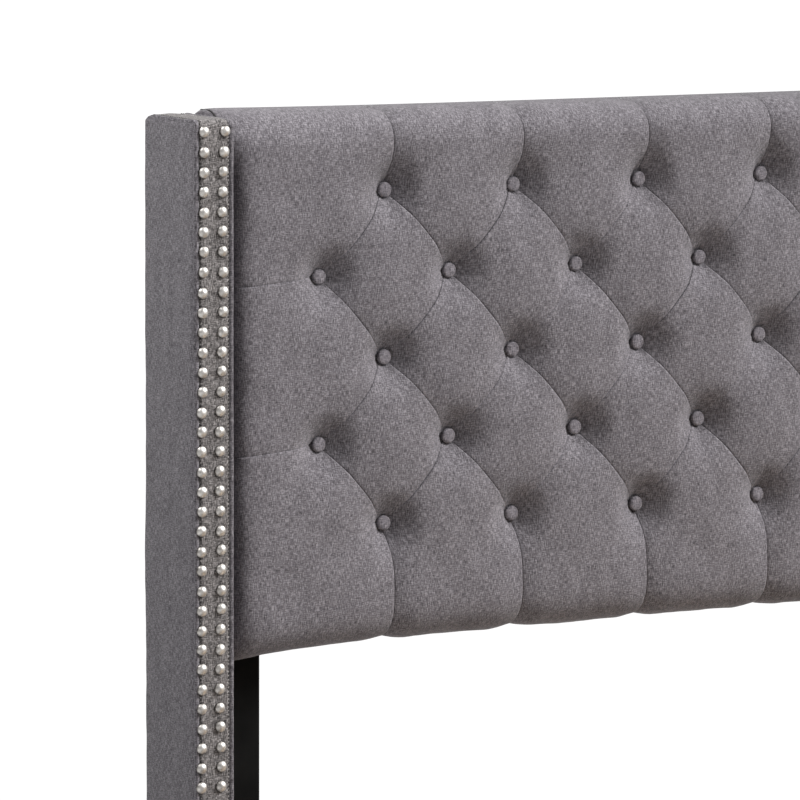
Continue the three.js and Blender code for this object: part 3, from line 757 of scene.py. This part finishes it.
def end_seam_shadow_cord(side, sign):
    """The stitched seam that closes the cover round one end of the pad, from its top to its underside, as a
    near-black cord that paints the seam's shadow line.
    """
    v = np.linspace(V_BOTTOM, V_TOP, 420)
    flat = np.stack([np.full_like(v, sign * SEAM_U), v], axis=1)
    drawn_in = END_TUCK * smooth((CROWN_TOP - v) / (30 * MM)) + 0.4 * MM
    line = place_cloth(flat, drawn_in, np.zeros_like(flat))
    along = np.gradient(line, axis=0)
    along /= np.linalg.norm(along, axis=1)[:, None]
    across = np.array((1.0, 0.0, 0.0)) - along * along[:, :1]
    across /= np.linalg.norm(across, axis=1)[:, None]
    other = np.cross(along, across)
    turns = np.arange(SEAM_CORD_SIDES) * 2 * math.pi / SEAM_CORD_SIDES
    ring = across[:, None] * np.cos(turns)[None, :, None] + other[:, None] * np.sin(turns)[None, :, None]
    points = (line[:, None] + SEAM_SHADOW_CORD * ring).reshape(-1, 3)
    index = np.arange(len(points)).reshape(len(v), SEAM_CORD_SIDES)
    after = np.roll(index, -1, axis=1)
    quads = np.stack([index[:-1], after[:-1], after[1:], index[1:]], -1).reshape(-1, 4)
    faces = [*quads.tolist(), index[0].tolist()[::-1], index[-1].tolist()]
    made = new_object(f"{side}_end_seam_shadow_cord", points, faces)
    # painted shade: the cord's near-black thread colour stands for the shadow in the seam
    made.data.materials.append(thread())
    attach(made, "root")


# ---- Covered buttons ----------------------------------------------------------------------------

def turned(profile, sides, axis_point, towards):
    """A turned shape from (radius, height) pairs, its axis running from axis_point along towards."""
    up = Vector(towards).normalized()
    across = up.orthogonal().normalized()
    other = up.cross(across)
    turns = np.arange(sides) * 2 * math.pi / sides
    ring = np.outer(np.cos(turns), np.array(across)) + np.outer(np.sin(turns), np.array(other))
    points = [np.array(axis_point) + np.array(up) * height + ring * radius for radius, height in profile]
    faces = []
    for row in range(len(profile) - 1):
        for k in range(sides):
            n = (k + 1) % sides
            faces.append((row * sides + k, row * sides + n, (row + 1) * sides + n, (row + 1) * sides + k))
    faces.append(tuple(range(sides))[::-1])
    top = (len(profile) - 1) * sides
    faces.append(tuple(range(top, top + sides)))
    return np.concatenate(points), faces


def merged(parts):
    """Joins (points, faces) pairs into one pair."""
    points, faces, count = [], [], 0
    for part_points, part_faces in parts:
        points.append(part_points)
        faces.extend(tuple(i + count for i in face) for face in part_faces)
        count += len(part_points)
    return np.concatenate(points), faces


BUTTON_SIDES = 32
BUTTON_PROFILE = (
    (0.60, -0.30), (0.84, -0.16), (0.95, 0.02), (0.99, 0.18), (1.0, 0.34), (0.985, 0.48), (0.94, 0.59),
    (0.86, 0.67), (0.74, 0.73), (0.58, 0.775), (0.38, 0.805), (0.2, 0.82), (0.05, 0.825),
)
TWINE_RADIUS = 1.1 * MM


def button_shape(x, z):
    """A covered button, sunk in its dimple and tipped a little, with its twine behind it."""
    tip = (RANDOM.uniform(-0.05, 0.05), -1, RANDOM.uniform(-0.05, 0.05))
    centre = (x, BUTTON_BACK, z)
    profile = [(r * BUTTON_RADIUS * BUTTON_SCALE, h * BUTTON_HEIGHT) for r, h in BUTTON_PROFILE]
    points, faces = turned(profile, BUTTON_SIDES, centre, tip)
    length = BOARD_HIGH.y - BUTTON_BACK
    twine = turned([(TWINE_RADIUS, 0), (TWINE_RADIUS, length)], 8, (x, BUTTON_BACK, z), (0, 1, 0))
    return merged([(points, faces), twine])


def button_rows():
    for row, places in enumerate(BUTTONS, start=1):
        points, faces = merged([button_shape(x, z) for x, z in places])
        first, last = places[0][0], places[-1][0]
        strand = turned(
            [(TWINE_RADIUS, 0), (TWINE_RADIUS, last - first)], 8,
            (first, BOARD_HIGH.y + 1.6 * MM, places[0][1]), (1, 0, 0),
        )
        points, faces = merged([(points, faces), strand])
        made = new_object(f"buttons_row_{row}", points, faces, uv=points[:, [0, 2]] + 0.37 * row)
        # painted light: the buttons get a paler copy of the heather cloth
        dress(made, [f"button_row_{row}"], fabric("button_linen_lit"))


# ---- Wings --------------------------------------------------------------------------------------

WING_PROUD = 1.4 * MM       # the padded cover stands this much outside its CAD solid
WELT = 5.7 * MM             # width of the piped edge beside the front band
WELT_HEIGHT = 1.7 * MM
STRIP_SUNK = 1.6 * MM       # the cover under the band lies this much lower
SEAM_BACK = 2.6 * MM        # from the front edge back to the seam on the wing's side
WING_ROUNDS = (2.4 * MM, 3.2 * MM, 7.0 * MM)
REAR_BEND = 10.5 * MM         # round of the wing's upper rear corner


def wing_box(side):
    low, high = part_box(f"{side}_wing_cover")
    low = np.array(low) - (WING_PROUD, WING_PROUD, 0)
    high = np.array(high) + (WING_PROUD, 0, 0)
    return low, high


def wing_relief(points, normals, low, high):
    x, y, z = points.T
    from_edge = np.minimum(x - low[0], high[0] - x)
    facing_strip = np.clip(np.maximum(-normals[:, 1], normals[:, 2]), 0, 1) ** 2
    facing_side = normals[:, 0] ** 2
    welt = WELT_HEIGHT * np.exp(-(((from_edge - WELT / 2) / (0.42 * WELT)) ** 2))
    sunk = -STRIP_SUNK * smooth((from_edge - WELT) / (1.2 * MM))
    height = facing_strip * (welt + sunk)
    height += facing_side * groove(y - low[1] - SEAM_BACK, 0.7 * MM, 0.8 * MM)
    height += facing_side * groove(high[2] - z - SEAM_BACK, 0.7 * MM, 0.8 * MM) * (y > low[1] + SEAM_BACK)
    soft = 0.55 * MM * waves(points, 150 * MM, 10, 31) + 0.22 * MM * waves(points, 34 * MM, 14, 32)
    height += facing_side * (swell(points, normals, low, high, 0.9 * MM) + soft)
    near_top = np.exp(-(high[2] - z) / (9 * MM))
    height += near_top * 0.4 * MM * waves(points, 30 * MM, 12, 33)
    return height


def round_rear_corner(points, high, radius):
    """Rounds the wing's upper rear corner, as seen from its side."""
    centre = high[1:] - radius
    past = points[:, 1:] - centre
    reach = np.hypot(*past.T)
    outside = (past > 0).all(axis=1) & (reach > radius)
    rounded = points.copy()
    rounded[outside, 1:] = centre + past[outside] * (radius / reach[outside])[:, None]
    return rounded


def wing_cover(side):
    low, high = wing_box(side)
    points, normals, quads, flat = rounded_block(low, high, WING_ROUNDS, (1.5 * MM, 3 * MM, 3 * MM))
    points = points + normals * wing_relief(points, normals, low, high)[:, None]
    points = round_rear_corner(points, high, REAR_BEND)
    made = new_object(f"{side}_wing_upholstery", points, quads, uv=flat)
    dress(made, [f"{side}_wing_cover"], fabric("side_linen"))


BAND_TAIL = 5 * MM          # how far the band runs down the wing's back


class StripPath:
    """The middle line of a wing's front band: up the front, over the top and a little down the back."""

    def __init__(self, side):
        low, high = wing_box(side)
        self.middle = (low[0] + high[0]) / 2
        self.front = low[1] - 0.35 * MM
        self.top = high[2] + 0.25 * MM
        self.back = high[1]
        self.bottom = low[2]
        self.bend = 6.5 * MM
        self.rise = self.top - self.bend - self.bottom
        self.over = self.back - self.front - self.bend - REAR_BEND
        self.length = self.rise + QUARTER * (self.bend + REAR_BEND) + self.over + BAND_TAIL

    def at(self, run):
        """Y, Z and the outward direction at each distance run along the path."""
        first = np.clip((run - self.rise) / self.bend, 0, QUARTER)
        flat = np.clip(run - self.rise - QUARTER * self.bend, 0, self.over)
        second = np.clip((run - self.rise - QUARTER * self.bend - self.over) / REAR_BEND, 0, QUARTER)
        down = np.clip(run - self.length + BAND_TAIL, 0, None)
        turn = first + second
        y = self.front + self.bend * (1 - np.cos(first)) + flat + REAR_BEND * np.sin(second)
        z = self.bottom + np.minimum(run, self.rise) + self.bend * np.sin(first)
        z = z - REAR_BEND * (1 - np.cos(second)) - down
        return y, z, -np.cos(turn), np.sin(turn)


BAND_STEP = 2.6 * MM
STITCH_PITCH = 4.2 * MM
STITCH_INSET = 1.1 * MM     # from the band's folded edge to its row of stitches
BAND_ROLL = 1.3 * MM        # how far the band's edges roll down into the seam


def band_half():
    return (BAND_HIGH.x - BAND_LOW.x) / 2 - 0.3 * MM


NAIL_COLUMNS = (            # sway, how far inward a column starts, its lean outward and where that stops
    ("outer", 0.35 * MM, 1.5 * MM, 10.3e-3, -2.2 * MM),
    ("inner", 1.2 * MM, 2.2 * MM, 16.5e-3, -3.0 * MM),
)


def nail_places(side):
    """Nail places as (x, z) for the outer and the inner column of one wing."""
    columns = {}
    for column, sway, start, lean, finish in NAIL_COLUMNS:
        low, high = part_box(f"{side}_nails_{column}")
        top = high.z - NAIL_RADIUS
        bottom = low.z + NAIL_RADIUS
        count = round((top - bottom) / NAIL_PITCH) + 1
        drift = waves(np.linspace(0, count, count)[:, None], 9, 5, 40 + len(columns))
        x = (low.x + high.x) / 2 + sway * drift + RANDOM.uniform(-0.3, 0.3, count) * MM
        z = np.linspace(top, bottom, count) + RANDOM.uniform(-0.7, 0.7, count) * MM
        inward = 1 if side == "left" else -1
        x += inward * np.maximum(start - lean * (top - z), finish)
        columns[column] = np.stack([x, z], axis=1)
    return columns


def band_height(across, run, half):
    """Height of the band's cloth over its base: rolled edges, seam puckers and soft waves."""
    from_edge = half - np.abs(across)
    rolled = BAND_ROLL * (1 - np.clip(1 - from_edge / (2.4 * MM), 0, 1) ** 2)
    pucker = 0.22 * MM * np.sin(2 * math.pi * run / STITCH_PITCH) * np.exp(-((from_edge - STITCH_INSET) / (1.6 * MM)) ** 2)
    pulled = groove(from_edge - STITCH_INSET - 0.2 * MM, 0.45 * MM, 0.7 * MM)
    place = np.stack([across, run], axis=1)
    return rolled + pucker + pulled + 0.2 * MM * waves(place, 30 * MM, 14, 51)


def front_band(side, nails):
    path = StripPath(side)
    half = band_half()
    inset = half * (1 - np.cos(np.linspace(0, math.pi, 27))) / 2 * 2 - half
    runs = np.linspace(0, path.length, int(path.length / BAND_STEP))
    across, run = (g.ravel() for g in np.meshgrid(inset, runs, indexing="ij"))
    height = band_height(across, run, half)
    y, z, out_y, out_z = path.at(run)
    x = path.middle + across
    for nail in np.concatenate(list(nails.values())):
        gap = np.hypot(x - nail[0], z - nail[1])
        height += np.where(out_y < -0.5, groove(gap, 0.5 * MM, 7.5 * MM), 0)
    height += np.exp(-(path.top - z) / (8 * MM)) * 0.35 * MM * waves(np.stack([across, run], 1), 26 * MM, 12, 52)
    points = np.stack([x, y + out_y * height, z + out_z * height], axis=1)
    index = np.arange(len(points)).reshape(len(inset), len(runs))
    quads = np.stack([index[:-1, :-1], index[1:, :-1], index[1:, 1:], index[:-1, 1:]], -1).reshape(-1, 4)
    under = np.stack([x, y - out_y * 0.9 * MM, z - out_z * 0.9 * MM], axis=1)
    rim = np.concatenate([index[:, 0], index[-1, 1:], index[-2::-1, -1], index[0, -2:0:-1]])
    walls = np.stack([rim, np.roll(rim, -1), np.roll(rim, -1) + len(points), rim + len(points)], axis=1)
    faces = np.concatenate([quads, quads[:, ::-1] + len(points), walls[:, ::-1]])
    uv = np.concatenate([np.stack([across, run], 1)] * 2) + 0.5
    made = new_object(f"{side}_front_band", np.concatenate([points, under]), faces, uv=uv)
    dress(made, [f"{side}_wing_front_band"], fabric("band_linen"))


def stitch_row(path, across, half):
    """Short thread dashes along the band at one distance from its middle."""
    parts = []
    sides = 6
    for run in np.arange(4 * MM, path.length - 6 * MM, STITCH_PITCH):
        runs = run + np.array((0, 0.16, 0.42, 0.68, 0.84)) * 0.8 * STITCH_PITCH
        y, z, out_y, out_z = path.at(runs)
        height = band_height(np.full(5, across), np.full(5, run), half) + np.array((-0.2, 0.3, 0.45, 0.3, -0.2)) * MM
        radius = np.array((0.16, 0.5, 0.58, 0.5, 0.16)) * MM
        turns = np.arange(sides) * 2 * math.pi / sides
        rings = []
        for k in range(5):
            outward = height[k] + radius[k] * np.sin(turns)
            rings.append(np.stack([
                path.middle + across + radius[k] * np.cos(turns), y[k] + out_y[k] * outward,
                z[k] + out_z[k] * outward,
            ], axis=1))
        faces = [
            (r * sides + k, r * sides + (k + 1) % sides, (r + 1) * sides + (k + 1) % sides, (r + 1) * sides + k)
            for r in range(4) for k in range(sides)
        ]
        faces += [tuple(range(sides))[::-1], tuple(range(4 * sides, 5 * sides))]
        parts.append((np.concatenate(rings), faces))
    return merged(parts)


def band_stitches(side):
    path = StripPath(side)
    half = band_half()
    rows = [stitch_row(path, sign * (half - STITCH_INSET), half) for sign in (-1, 1)]
    made = new_object(f"{side}_band_stitches", *merged(rows))
    made.data.materials.append(thread())
    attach(made, "root")


NAIL_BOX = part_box("left_nails_outer")
NAIL_RADIUS = (NAIL_BOX[1].x - NAIL_BOX[0].x) / 2
NAIL_HEIGHT = 5.4 * MM
RIM_SHADE_REACH = 3.0 * MM     # how far up from its rim a nail is darkened by painted shade
NAIL_PITCH = 21.2 * MM
NAIL_FACE = BAND_LOW.y - 0.75 * MM
NAIL_SIDES = 28
NAIL_PROFILE = (
    (0.90, -0.18), (0.985, -0.04), (1.0, 0.06), (0.985, 0.16), (0.95, 0.28), (0.88, 0.43), (0.78, 0.59),
    (0.66, 0.72), (0.52, 0.83), (0.36, 0.925), (0.19, 0.98), (0.04, 1.0),
)


def nails(side, places):
    for column, spots in places.items():
        parts = []
        for x, z in spots:
            tip = (RANDOM.uniform(-0.09, 0.09), -1, RANDOM.uniform(-0.09, 0.09))
            size = NAIL_RADIUS * RANDOM.uniform(0.97, 1.03)
            profile = [(r * size, h * NAIL_HEIGHT) for r, h in NAIL_PROFILE]
            parts.append(turned(profile, NAIL_SIDES, (x, NAIL_FACE, z), tip))
        made = new_object(f"{side}_nail_heads_{column}", *merged(parts))
        dress(made, [f"{side}_nails_{column}"], METAL["pewter"])


# ---- Rails and footboard ------------------------------------------------------------------------

def hard_pad(name, node, rounds, steps, height, seed):
    """A thinly padded, upholstered board: rounded edges, a slight crown and soft unevenness."""
    low, high = (np.array(corner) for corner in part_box(node))
    points, normals, quads, flat = rounded_block(low, high, rounds, steps)
    lift = swell(points, normals, low, high, height)
    calm = smooth(lift / (0.5 * height))
    lift += calm * (0.8 * MM * waves(points, 170 * MM, 12, seed) + 0.25 * MM * waves(points, 40 * MM, 14, seed + 1))
    points = points + normals * lift[:, None]
    made = new_object(name, points, quads, uv=flat)
    dress(made, [node], fabric("side_linen"))
    return made


def rails_and_footboard():
    for seed, (side, _) in enumerate(SIDES):
        hard_pad(
            f"{side}_rail_upholstery", f"{side}_rail_cover", (8 * MM, 3 * MM, 8 * MM),
            (5 * MM, 12 * MM, 8 * MM), 3 * MM, 60 + 2 * seed,
        )
    hard_pad(
        "footboard_upholstery", "footboard_cover", (8 * MM, 8 * MM, 8 * MM), (12 * MM, 5 * MM, 8 * MM),
        3 * MM, 70,
    )


# ---- Back of the headboard ----------------------------------------------------------------------

DUST_TOP_DROP = 2 * MM       # the cloth's top edge is folded under this far below the frame's top


def dust_cover():
    """Thin black cloth pulled flat over the back of the panel's frame and stapled."""
    low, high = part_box("dust_cover")
    high.z -= DUST_TOP_DROP
    x, z = np.meshgrid(np.linspace(low.x, high.x, 160), np.linspace(low.z, high.z, 60), indexing="ij")
    flat = np.stack([x.ravel(), z.ravel()], axis=1)
    edge = np.minimum.reduce([flat[:, 0] - low.x, high.x - flat[:, 0], flat[:, 1] - low.z, high.z - flat[:, 1]])
    slack = 0.3 * MM * waves(flat, 120 * MM, 12, 81) * smooth(edge / (40 * MM))
    y = (low.y + high.y) / 2 + slack
    points = np.stack([flat[:, 0], y, flat[:, 1]], axis=1)
    index = np.arange(len(points)).reshape(x.shape)
    quads = np.stack([index[:-1, :-1], index[1:, :-1], index[1:, 1:], index[:-1, 1:]], -1).reshape(-1, 4)
    made = new_object("dust_cover_cloth", points, quads[:, ::-1], uv=flat)
    dress(made, ["dust_cover"], backing())


STAPLE_CROWN = 10 * MM
STAPLE_WIRE = 0.6 * MM
STAPLE_SPACING = 62 * MM
STAPLE_INSET = 14 * MM


def staple_shape(x, z, upright):
    """A staple's crown, bent down at both ends into the wood."""
    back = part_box("dust_cover")[1].y + 0.2 * MM
    half = STAPLE_CROWN / 2
    line = [(-half, -1.6), (-half, -0.3), (-0.92 * half, 0.1), (0.92 * half, 0.1), (half, -0.3), (half, -1.6)]
    tilt = RANDOM.uniform(-0.12, 0.12) + (QUARTER if upright else 0)
    points = []
    for along, out in line:
        middle = np.array((x + along * math.cos(tilt), back + out * MM, z + along * math.sin(tilt)))
        side = np.array((-math.sin(tilt), 0, math.cos(tilt))) * STAPLE_WIRE / 2
        bent = np.array((0, 1, 0)) if abs(along) < half else np.array((math.cos(tilt), 0, math.sin(tilt)))
        bent = bent * STAPLE_WIRE / 2 * (1 if abs(along) < half else np.sign(along))
        points += [middle - side - bent, middle + side - bent, middle + side + bent, middle - side + bent]
    faces = [(0, 3, 2, 1), (20, 21, 22, 23)]
    for k in range(5):
        for j in range(4):
            n = (j + 1) % 4
            faces.append((4 * k + j, 4 * k + n, 4 * k + 4 + n, 4 * k + 4 + j))
    return np.array(points), faces


def staples():
    low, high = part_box("dust_cover")
    parts = []
    for z in (low.z + STAPLE_INSET, high.z - STAPLE_INSET):
        for x in np.arange(low.x + 24 * MM, high.x - 10 * MM, STAPLE_SPACING):
            parts.append(staple_shape(x, z + RANDOM.uniform(-1, 1) * MM, False))
    for x in (low.x + STAPLE_INSET * 0.4, high.x - STAPLE_INSET * 0.4):
        for z in np.arange(low.z + 45 * MM, high.z - 40 * MM, STAPLE_SPACING):
            parts.append(staple_shape(x, z, True))
    made = new_object("dust_cover_staples", *merged(parts), smooth_shaded=False)
    made.data.materials.append(METAL["zinc"])
    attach(made, "root")


# ---- CAD nodes that stay ------------------------------------------------------------------------

def finish_for(name):
    """The material for a CAD node that stays, chosen by its name."""
    if "bolt" in name or "hook" in name:
        return METAL["zinc"]
    if "glide" in name:
        return WOOD["plastic"]
    if name in ("left_leg", "right_leg", "left_foot", "right_foot", "centre_leg_foot", "centre_leg_head"):
        return WOOD["paint"]
    if name == "tufting_board":
        return WOOD["plywood"]
    low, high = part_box(name)
    along = int(np.argmax(np.array(high) - np.array(low)))
    return WOOD[f"pine_{along}"]


def finish_cad_nodes():
    for name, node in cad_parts.items():
        if not node.hide_render:
            node.data.materials.clear()
            node.data.materials.append(finish_for(name))


# ---- Stage, camera and light --------------------------------------------------------------------

FLOOR_SHADE_REACH = 10.0          # metres over which the painted shade round the object fades out and the floor grows paler


def stage():
    """A plain pale paper floor with painted shade round the object: darker near it, paler away from it."""
    mesh = bpy.data.meshes.new("floor")
    size = 60.0
    mesh.from_pydata([(-size, -size, 0), (size, -size, 0), (size, size, 0), (-size, size, 0)], [], [(0, 1, 2, 3)])
    floor = bpy.data.objects.new("floor", mesh)
    bpy.context.scene.collection.objects.link(floor)
    n = Nodes("floor_paper")
    place = n.add("ShaderNodeTexCoord").outputs["Object"]
    away = n.add("ShaderNodeVectorMath", {"Vector": place}, operation="LENGTH").outputs["Value"]
    share = n.math("DIVIDE", away, FLOOR_SHADE_REACH, clamp=True)
    # painted shade: darker floor near the object, paler further away
    n.set(Base_Color=n.ramp(share, ((0.2, (0.71, 0.71, 0.71)), (0.7, (0.84, 0.84, 0.84)))), Roughness=1.0)
    floor.data.materials.append(n.material)


def sun(name, towards, strength, angle):
    lamp = bpy.data.lights.new(name, "SUN")
    lamp.energy = strength
    lamp.angle = math.radians(angle)
    made = bpy.data.objects.new(name, lamp)
    made.rotation_mode = "QUATERNION"
    made.rotation_quaternion = Vector(towards).to_track_quat("Z", "Y")
    bpy.context.scene.collection.objects.link(made)


def panel_light(name, place, target, size, power):
    lamp = bpy.data.lights.new(name, "AREA")
    lamp.size = size
    lamp.energy = power
    made = bpy.data.objects.new(name, lamp)
    made.location = place
    made.rotation_mode = "QUATERNION"
    made.rotation_quaternion = (Vector(place) - Vector(target)).to_track_quat("Z", "Y")
    bpy.context.scene.collection.objects.link(made)


def lights():
    world = bpy.data.worlds.new("studio")
    world.use_nodes = True
    world.node_tree.nodes["Background"].inputs["Color"].default_value = (1, 1, 1, 1)
    world.node_tree.nodes["Background"].inputs["Strength"].default_value = 0.245
    bpy.context.scene.world = world
    sun("key", (0.66, -0.48, 0.66), 5.3, 18)
    panel_light("upper_right", (1.0, -1.4, 2.5), (-0.3, 1.0, 0.9), 1.0, 24)
    panel_light("left", (-1.6, 1.08, 2.4), (-0.82, 1.04, 1.1), 0.8, 25.5)


def camera():
    data = bpy.data.cameras.new("camera")
    data.lens = 249.5
    data.sensor_width = 36
    data.clip_end = 200
    made = bpy.data.objects.new("camera", data)
    corner = Vector((WING_HIGH.x, BAND_LOW.y, WING_HIGH.z))
    made.location = corner + Vector((-2739.3, -5154.8, 405.1)) * MM
    made.rotation_euler = (math.radians(83.147), math.radians(-0.179), math.radians(-29.703))
    bpy.context.scene.collection.objects.link(made)
    bpy.context.scene.camera = made


camera()
stage()
lights()
METAL = {"pewter": pewter(), "zinc": zinc()}
PINE_DARK = (0.40, 0.25, 0.12)
PINE_PALE = (0.58, 0.41, 0.22)
WOOD = {f"pine_{along}": wood(f"pine_{along}", PINE_DARK, PINE_PALE, along) for along in range(3)}
WOOD["plywood"] = wood("plywood", (0.36, 0.24, 0.12), (0.50, 0.36, 0.20), 0)
WOOD["paint"] = black_paint()
WOOD["plastic"] = black_plastic()
tufted_cover()
button_rows()
for side, sign in SIDES:
    end_seam_shadow_cord(side, sign)
    spots = nail_places(side)
    wing_cover(side)
    front_band(side, spots)
    band_stitches(side)
    nails(side, spots)
rails_and_footboard()
dust_cover()
staples()
finish_cad_nodes()
bpy.context.scene.view_settings.view_transform = "Standard"
